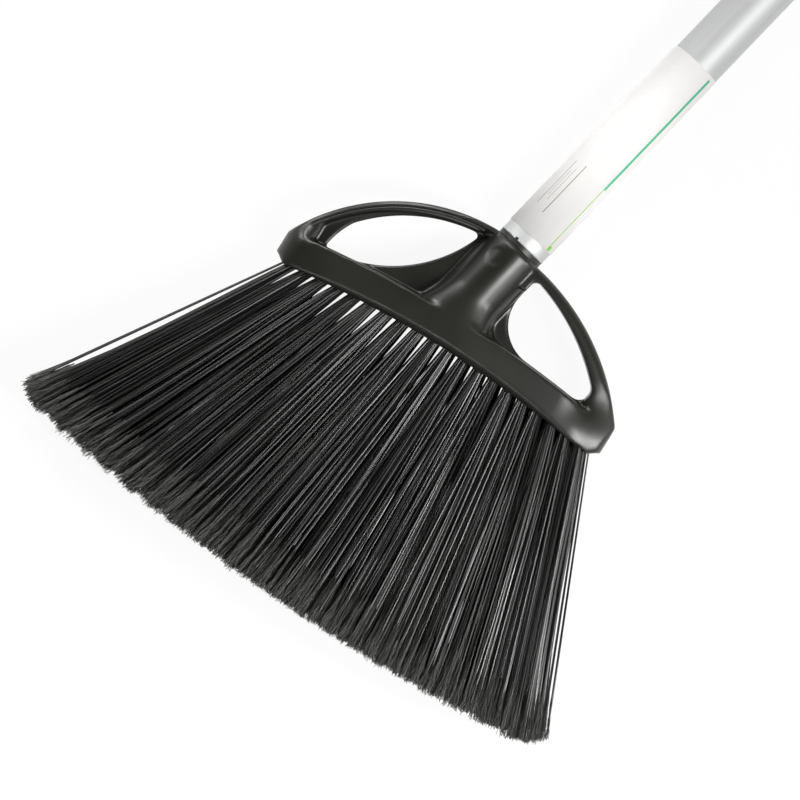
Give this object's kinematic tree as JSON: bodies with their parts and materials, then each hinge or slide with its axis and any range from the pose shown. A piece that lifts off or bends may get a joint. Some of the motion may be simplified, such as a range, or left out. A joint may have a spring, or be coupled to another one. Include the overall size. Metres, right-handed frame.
{
  "type": "lobby broom",
  "caption": "Lobby broom: slanted arched head with fanned stiff bristles, windowed bow and screw socket, on a round aluminium handle with a hanging cap.",
  "frame": {"origin": "middle of the underside of the whole broom's box, with the broom lying on its back", "axes": "+Z out of the front face of the head, +Y up the handle, X across the head"},
  "size_m": [0.3042, 0.9578, 0.0397],
  "materials": {
    "block": "satin moulded polypropylene",
    "filament": "drawn polypropylene filament, flagged ends",
    "anchor_wire": "drawn flat wire",
    "fitting": "satin moulded plastic",
    "tube": "satin anodised, drawn lengthwise",
    "label": "smooth white film-coated sleeve"
  },
  "bodies": {
    "head": {"broom_block": "block", "tuft_column_01": "filament", "tuft_column_02": "filament", "tuft_column_03": "filament", "tuft_column_04": "filament", "tuft_column_05": "filament", "tuft_column_06": "filament", "tuft_column_07": "filament", "tuft_column_08": "filament", "tuft_column_09": "filament", "tuft_column_10": "filament", "tuft_column_11": "filament", "tuft_column_12": "filament", "tuft_column_13": "filament", "tuft_column_14": "filament", "tuft_column_15": "filament", "tuft_column_16": "filament", "tuft_column_17": "filament", "tuft_column_18": "filament", "tuft_column_19": "filament", "tuft_column_20": "filament", "tuft_anchors": "anchor_wire"},
    "handle": {"threaded_tip": "fitting", "handle_tube": "tube", "label_sleeve": "label", "hang_cap": "fitting"}
  },
  "joints": [
    {"name": "handle_unscrew", "type": "hinge", "parent": "head", "child": "handle", "pos_m": [-0.02411, -0.26361, 0.01984], "axis": [0, 1, 0], "range_deg": [0, 1980]}
  ]
}
